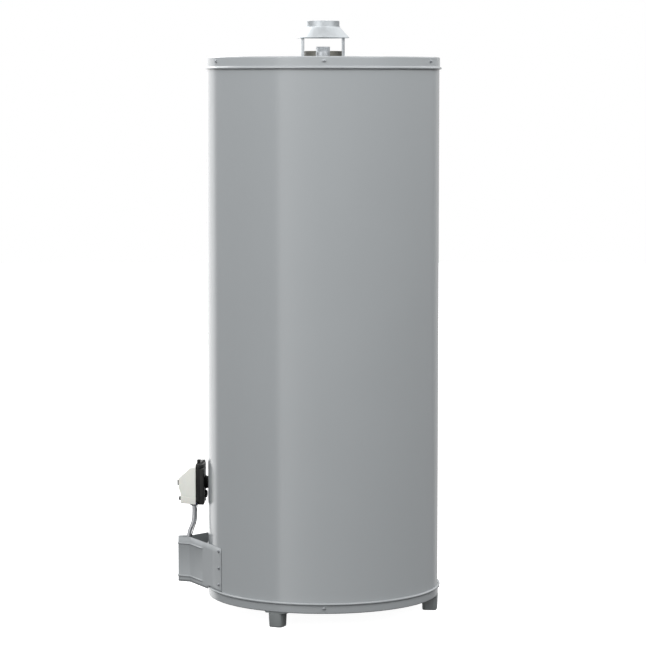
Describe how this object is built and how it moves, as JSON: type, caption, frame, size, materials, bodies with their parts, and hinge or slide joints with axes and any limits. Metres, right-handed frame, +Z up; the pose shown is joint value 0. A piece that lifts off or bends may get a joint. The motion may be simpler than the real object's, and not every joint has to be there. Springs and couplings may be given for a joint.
{
  "type": "tank water heater",
  "caption": "Tall cylindrical gas water heater on short legs, with a draft hood on top and a gas control and burner shield at the front.",
  "frame": {"origin": "middle of the footprint's bounding box, on the floor", "axes": "+Z up along the tank; -Y towards the front, where the gas control and the burner shield are; +X to the right of someone facing the rear, so the relief valve is on -X"},
  "size_m": [0.7876, 0.8133, 1.7942],
  "materials": {
    "grey_paint": "smooth light grey enamel, semi-gloss",
    "leg_paint": "dark grey enamel, satin",
    "tank_steel": "glass-lined steel, dark blue, semi-gloss",
    "flue_enamel": "heat-darkened steel, matt brown-black",
    "foam": "rigid polyurethane foam, matt",
    "zinc_plate": "zinc plated steel, satin",
    "galvanised_steel": "galvanised sheet, bright satin",
    "brass": "cast and turned brass, satin",
    "cast_iron": "rough grey iron, matt",
    "aluminium_tube": "drawn tube, satin",
    "lead_sleeve": "black sleeve, matt",
    "control_casting": "black coated die casting, satin",
    "knob_plastic": "black moulded plastic, satin",
    "cover_plastic": "warm off-white moulded plastic, satin",
    "lens_plastic": "grey tinted lens, glossy",
    "cap_plastic": "white moulded plastic, satin",
    "dip_plastic": "pale plastic, satin",
    "handle_plastic": "red dipped plastic, satin",
    "sight_glass": "clear heat-proof glass"
  },
  "bodies": {
    "heater": {"anode_cap": "cap_plastic", "anode_rod": "zinc_plate", "base_pan": "grey_paint", "base_pan_screw_1": "zinc_plate", "base_pan_screw_2": "zinc_plate", "base_pan_screw_3": "zinc_plate", "burner": "cast_iron", "burner_door": "grey_paint", "burner_shield": "grey_paint", "cold_nipple": "zinc_plate", "combustion_skirt": "tank_steel", "control_cover": "cover_plastic", "control_housing": "control_casting", "control_spud": "brass", "dip_tube": "dip_plastic", "drain_valve_body": "brass", "floor_shield": "galvanised_steel", "flue_baffle": "tank_steel", "flue_tube": "flue_enamel", "foam_insulation": "foam", "gas_inlet": "zinc_plate", "hood_collar": "galvanised_steel", "hood_cone": "galvanised_steel", "hood_leg_1": "galvanised_steel", "hood_leg_2": "galvanised_steel", "hood_leg_3": "galvanised_steel", "hood_leg_4": "galvanised_steel", "hot_nipple": "zinc_plate", "igniter_lead": "lead_sleeve", "jacket": "grey_paint", "leg_left": "leg_paint", "leg_rear": "leg_paint", "leg_right": "leg_paint", "manifold_nut": "zinc_plate", "manifold_tube": "aluminium_tube", "pilot_assembly": "zinc_plate", "pilot_tube": "aluminium_tube", "relief_valve_body": "brass", "shield_screw_1": "zinc_plate", "shield_screw_2": "zinc_plate", "shield_screw_3": "zinc_plate", "shield_screw_4": "zinc_plate", "shield_screw_5": "zinc_plate", "shield_screw_6": "zinc_plate", "sight_glass": "sight_glass", "status_lens": "lens_plastic", "tank_bottom_head": "tank_steel", "tank_shell": "tank_steel", "tank_top_head": "tank_steel", "top_pan": "grey_paint", "top_pan_screw_1": "zinc_plate", "top_pan_screw_2": "zinc_plate", "top_pan_screw_3": "zinc_plate", "top_pan_screw_4": "zinc_plate", "top_pan_screw_5": "zinc_plate", "top_pan_screw_6": "zinc_plate"},
    "dial": {"temperature_dial": "knob_plastic"},
    "button": {"igniter_button": "knob_plastic"},
    "relief_handle": {"relief_lever": "zinc_plate"},
    "drain_cock": {"drain_handle": "handle_plastic"}
  },
  "joints": [
    {"name": "dial_turn", "type": "hinge", "parent": "heater", "child": "dial", "pos_m": [0.03465, -0.3974, 0.3777], "axis": [0, -1, 0], "range_deg": [0, 270]},
    {"name": "button_press", "type": "slide", "parent": "heater", "child": "button", "axis": [0, 1, 0], "range_m": [0, 0.004], "stiffness_N_per_m": 400, "springref_m": -0.002},
    {"name": "relief_lift", "type": "hinge", "parent": "heater", "child": "relief_handle", "pos_m": [-0.38255, 0.047, 1.5275], "axis": [0, -1, 0], "range_deg": [0, 80], "stiffness_Nm_per_rad": 0.15, "springref_deg": -17.19},
    {"name": "drain_turn", "type": "hinge", "parent": "heater", "child": "drain_cock", "pos_m": [-0.2423, -0.22044, 0.2959], "axis": [0, 0, 1], "range_deg": [0, 90]}
  ]
}
